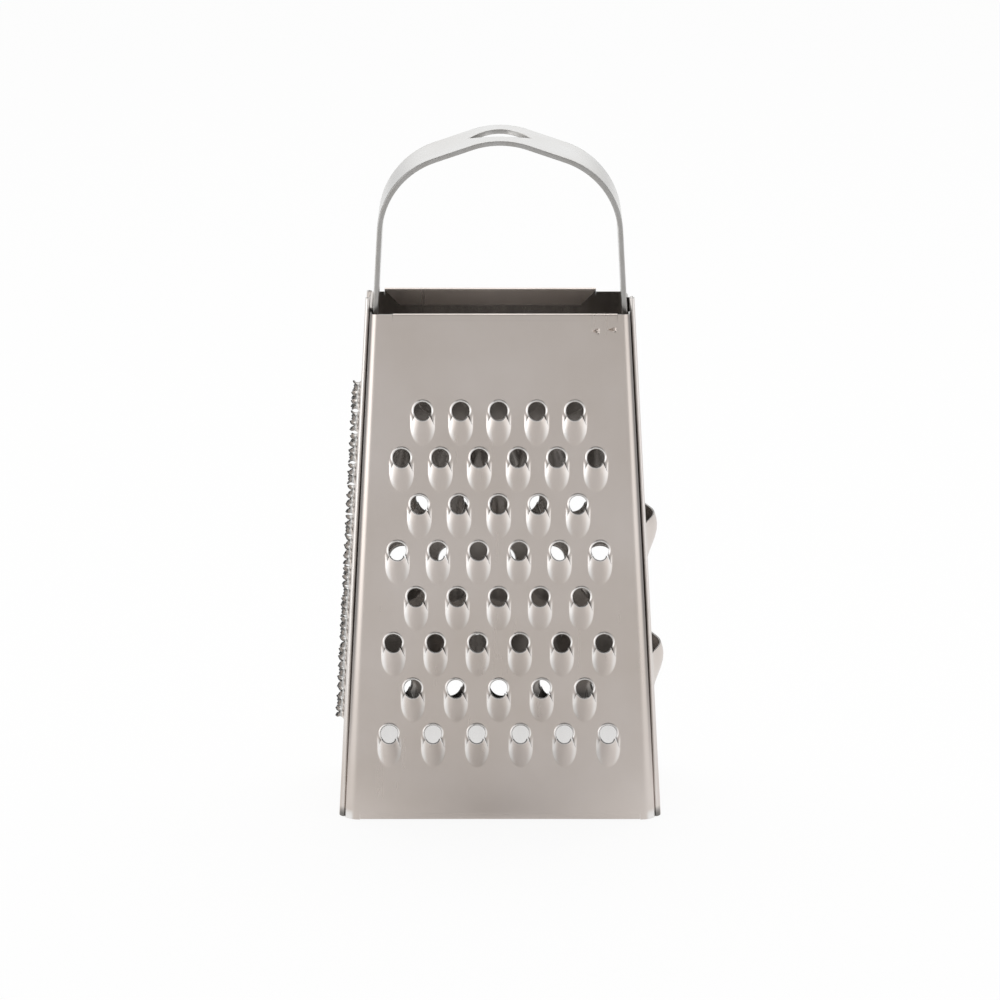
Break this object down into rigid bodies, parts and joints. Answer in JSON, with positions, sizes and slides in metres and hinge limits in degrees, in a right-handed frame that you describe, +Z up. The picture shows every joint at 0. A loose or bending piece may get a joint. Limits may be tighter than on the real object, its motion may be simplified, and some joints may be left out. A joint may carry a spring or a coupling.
{
  "type": "four-sided grater",
  "caption": "Small tapered four-sided sheet-steel grater with medium, coarse, rasp and slicing faces hooked together at the corners, and a bent strap handle with a hanging eye.",
  "frame": {"origin": "middle of the base, on the surface that the grater stands on", "axes": "+Z up to the handle, -Y out of the medium face, +X out of the slicing face"},
  "size_m": [0.0672, 0.0329, 0.1385],
  "materials": {
    "satin_steel": "satin rolled stainless sheet, faintly brushed",
    "bright_steel": "bright stainless strip with polished edges"
  },
  "bodies": {
    "root": {"medium_panel": "satin_steel", "coarse_panel": "satin_steel", "slicer_panel": "satin_steel", "rasp_panel": "satin_steel", "handle_strap": "bright_steel"}
  },
  "joints": []
}
